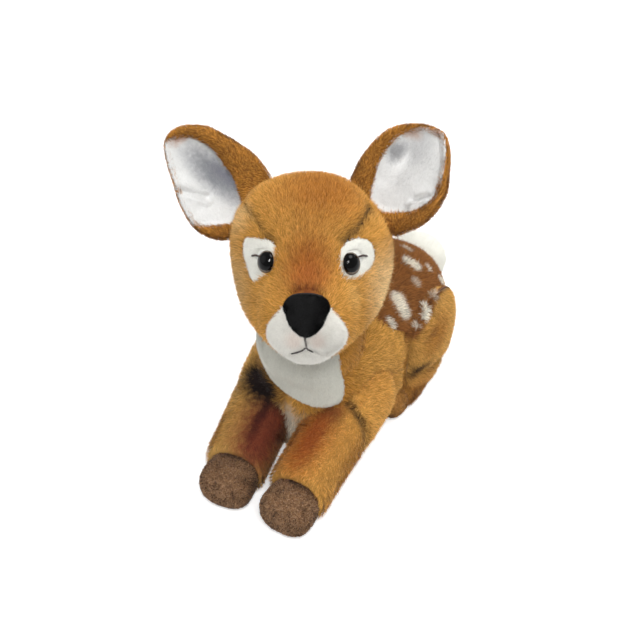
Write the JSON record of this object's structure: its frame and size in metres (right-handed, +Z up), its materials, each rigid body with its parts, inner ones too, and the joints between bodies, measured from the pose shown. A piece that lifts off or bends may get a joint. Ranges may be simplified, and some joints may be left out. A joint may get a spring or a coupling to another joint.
{
  "type": "plush fawn",
  "caption": "Lying plush fawn with a turned head, upright ears, stretched front legs, folded hind legs and a short white tail; head, ears, legs and tail turn at their seams.",
  "frame": {"origin": "on the floor under the belly, on the fawn's middle plane", "axes": "+Z up, -Y the way the fawn's body faces, +X to its left"},
  "size_m": [0.1659, 0.2742, 0.2136],
  "materials": {
    "brown_plush": "golden-tan plush pile",
    "spotted_plush": "chocolate plush pile with dyed white spots",
    "white_plush": "off-white plush pile",
    "ear_lining_plush": "short white pile with a pinkish edge",
    "hoof_plush": "mottled brown-grey short pile",
    "nose_velvet": "black velvety nap",
    "black_thread": "black embroidery thread",
    "eye_plastic": "moulded, polished, black pupil in a brown ring",
    "washer_plastic": "natural moulded",
    "stuffing": "white polyester fibre",
    "bag_cloth": "plain woven inner cloth"
  },
  "bodies": {
    "torso": {"torso_cover": "brown_plush", "back_panel": "spotted_plush", "bib": "white_plush", "torso_stuffing": "stuffing", "pellet_bag": "bag_cloth"},
    "neck": {"neck_sleeve": "brown_plush", "neck_stuffing": "stuffing"},
    "head": {"head_cover": "brown_plush", "muzzle": "white_plush", "head_stuffing": "stuffing", "eye_patch_left": "white_plush", "eye_patch_right": "white_plush", "eye_left": "eye_plastic", "eye_right": "eye_plastic", "eye_washer_left": "washer_plastic", "eye_washer_right": "washer_plastic", "eye_stitch_left": "black_thread", "eye_stitch_right": "black_thread", "nose": "nose_velvet", "mouth_stitch": "black_thread"},
    "ear_left": {"ear_back_left": "brown_plush", "ear_lining_left": "ear_lining_plush"},
    "ear_right": {"ear_back_right": "brown_plush", "ear_lining_right": "ear_lining_plush"},
    "front_leg_left": {"front_leg_left": "brown_plush", "front_hoof_left": "hoof_plush", "front_leg_stuffing_left": "stuffing"},
    "front_leg_right": {"front_leg_right": "brown_plush", "front_hoof_right": "hoof_plush", "front_leg_stuffing_right": "stuffing"},
    "hind_leg_left": {"haunch_left": "brown_plush", "haunch_stuffing_left": "stuffing", "hind_leg_left": "brown_plush", "hind_hoof_left": "hoof_plush"},
    "hind_leg_right": {"haunch_right": "brown_plush", "haunch_stuffing_right": "stuffing", "hind_leg_right": "brown_plush", "hind_hoof_right": "hoof_plush"},
    "tail": {"tail": "white_plush"}
  },
  "joints": [
    {"name": "neck_turn", "type": "hinge", "parent": "torso", "child": "neck", "pos_m": [0, -0.027, 0.09], "axis": [0, 0, 1], "range_deg": [-55, 18]},
    {"name": "head_nod", "type": "hinge", "parent": "neck", "child": "head", "pos_m": [0, -0.027, 0.11], "axis": [0.891, 0.454, 0], "range_deg": [-12, 14]},
    {"name": "ear_flop_left", "type": "hinge", "parent": "head", "child": "ear_left", "pos_m": [0.02325, 0.01811, 0.16678], "axis": [0.9209, -0.2932, -0.2569], "range_deg": [-20, 30], "stiffness_Nm_per_rad": 0.05},
    {"name": "ear_flop_right", "type": "hinge", "parent": "head", "child": "ear_right", "pos_m": [-0.05016, -0.0193, 0.16678], "axis": [0.3026, 0.7942, 0.527], "range_deg": [-20, 30], "stiffness_Nm_per_rad": 0.05},
    {"name": "front_leg_spread_left", "type": "hinge", "parent": "torso", "child": "front_leg_left", "pos_m": [0.028, -0.014, 0.04], "axis": [0, 0, 1], "range_deg": [-2, 30]},
    {"name": "front_leg_spread_right", "type": "hinge", "parent": "torso", "child": "front_leg_right", "pos_m": [-0.028, -0.014, 0.04], "axis": [0, 0, -1], "range_deg": [-2, 30]},
    {"name": "hind_leg_spread_left", "type": "hinge", "parent": "torso", "child": "hind_leg_left", "pos_m": [0.038, 0.09296, 0], "axis": [0, 0, 1], "range_deg": [0, 24]},
    {"name": "hind_leg_spread_right", "type": "hinge", "parent": "torso", "child": "hind_leg_right", "pos_m": [-0.038, 0.09296, 0], "axis": [0, 0, -1], "range_deg": [0, 24]},
    {"name": "tail_lift", "type": "hinge", "parent": "torso", "child": "tail", "pos_m": [0, 0.1135, 0.036], "axis": [1, 0, 0], "range_deg": [-15, 25], "stiffness_Nm_per_rad": 0.1}
  ]
}
